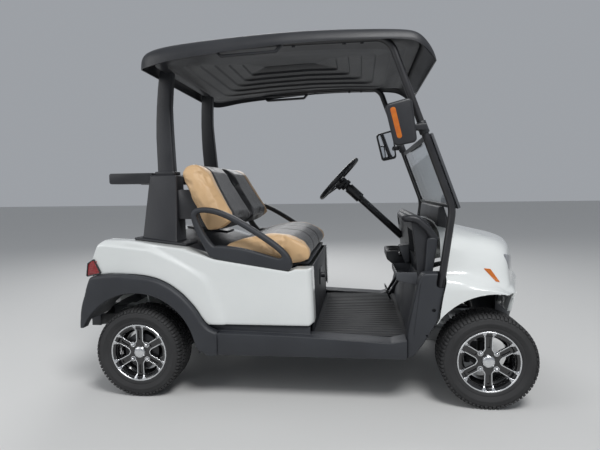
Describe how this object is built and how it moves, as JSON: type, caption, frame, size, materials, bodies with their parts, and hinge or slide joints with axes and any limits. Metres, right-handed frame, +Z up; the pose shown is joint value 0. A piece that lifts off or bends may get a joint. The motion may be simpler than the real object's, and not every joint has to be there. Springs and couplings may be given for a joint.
{
  "type": "golf cart",
  "caption": "Two-seat electric golf cart with a fixed canopy, a folded windshield, a bench seat, a bag well and four road wheels.",
  "frame": {"origin": "on the ground under the middle of the cart's length and width", "axes": "+X forward, +Y to the driver's side on the left, +Z up"},
  "size_m": [2.3299, 1.226, 1.7479],
  "materials": {
    "white_paint": "gloss white",
    "textured_black": "textured charcoal",
    "canopy_black": "satin black",
    "frame_metal": "satin",
    "black_metal": "satin black",
    "rubber_mat": "ribbed black",
    "tan_vinyl": "tan and black vinyl",
    "clear_pane": "clear",
    "amber_lens": "amber",
    "red_lens": "red",
    "lamp_lens": "clear lens",
    "machined": "machined face over black",
    "tyre": "black",
    "battery_case": "plain"
  },
  "bodies": {
    "chassis": {"frame_rails": "frame_metal", "cross_members": "frame_metal", "floor_pan": "textured_black", "floor_mat": "rubber_mat", "sills": "textured_black", "rear_quarter_left": "white_paint", "rear_quarter_right": "white_paint", "rear_flares": "textured_black", "bag_well": "white_paint", "rear_bumper": "textured_black", "rear_deck": "textured_black", "bulkhead": "black_metal", "seat_pod_front": "textured_black", "battery_pack": "battery_case", "towers": "canopy_black", "bag_rack": "canopy_black", "rear_struts": "canopy_black", "front_tubes": "black_metal", "roof": "canopy_black", "cowl": "white_paint", "nose_lower": "textured_black", "side_covers": "textured_black", "dashboard": "canopy_black", "hand_hold": "black_metal", "windshield_lower": "clear_pane", "windshield_upper": "clear_pane", "windshield_trim": "canopy_black", "mirrors": "canopy_black", "headlights": "lamp_lens", "markers": "amber_lens", "tail_lights": "red_lens", "steering_column": "black_metal", "steering_box": "black_metal", "front_suspension": "black_metal", "rear_axle": "black_metal", "backrests": "tan_vinyl", "backrest_frame": "black_metal", "armrests": "canopy_black", "pedals": "black_metal", "selector": "canopy_black"},
    "seat": {"seat_base": "textured_black", "seat_cushion": "tan_vinyl"},
    "steering_wheel": {"steering_wheel": "canopy_black"},
    "tie_rod": {"tie_rod": "black_metal"},
    "knuckle_left": {"knuckle_left": "black_metal"},
    "knuckle_right": {"knuckle_right": "black_metal"},
    "wheel_front_left": {"rim_front_left": "machined", "tyre_front_left": "tyre"},
    "wheel_front_right": {"rim_front_right": "machined", "tyre_front_right": "tyre"},
    "wheel_rear_left": {"rim_rear_left": "machined", "tyre_rear_left": "tyre"},
    "wheel_rear_right": {"rim_rear_right": "machined", "tyre_rear_right": "tyre"}
  },
  "joints": [
    {"name": "steer_left", "type": "hinge", "parent": "chassis", "child": "knuckle_left", "pos_m": [0.892, 0.41, 0.219], "axis": [0, 0, 1], "range_deg": [-30, 30]},
    {"name": "steer_right", "type": "hinge", "parent": "chassis", "child": "knuckle_right", "pos_m": [0.892, -0.41, 0.219], "axis": [0, 0, 1], "range_deg": [-30, 30]},
    {"name": "tie_rod_slide", "type": "slide", "parent": "chassis", "child": "tie_rod", "axis": [0, 1, 0], "range_m": [-0.0346, 0.0346]},
    {"name": "steering_wheel_turn", "type": "hinge", "parent": "chassis", "child": "steering_wheel", "pos_m": [0.185, 0.27, 1.074], "axis": [-0.7314, 0, 0.682], "range_deg": [-420, 420]},
    {"name": "seat_lift", "type": "hinge", "parent": "chassis", "child": "seat", "pos_m": [-0.376, 0, 0.699], "axis": [0, -1, 0], "range_deg": [0, 30]},
    {"name": "spin_front_left", "type": "hinge", "parent": "knuckle_left", "child": "wheel_front_left", "pos_m": [0.892, 0.483, 0.219], "axis": [0, 1, 0], "continuous": true},
    {"name": "spin_front_right", "type": "hinge", "parent": "knuckle_right", "child": "wheel_front_right", "pos_m": [0.892, -0.483, 0.219], "axis": [0, 1, 0], "continuous": true},
    {"name": "spin_rear_left", "type": "hinge", "parent": "chassis", "child": "wheel_rear_left", "pos_m": [-0.772, 0.492, 0.219], "axis": [0, 1, 0], "continuous": true},
    {"name": "spin_rear_right", "type": "hinge", "parent": "chassis", "child": "wheel_rear_right", "pos_m": [-0.772, -0.492, 0.219], "axis": [0, 1, 0], "continuous": true}
  ],
  "couplings": [
    {"joint": "steer_right", "follows": "steer_left", "ratio": 1},
    {"joint": "tie_rod_slide", "follows": "steer_left", "m_per_rad": -0.066},
    {"joint": "steering_wheel_turn", "follows": "steer_left", "ratio": 14}
  ]
}
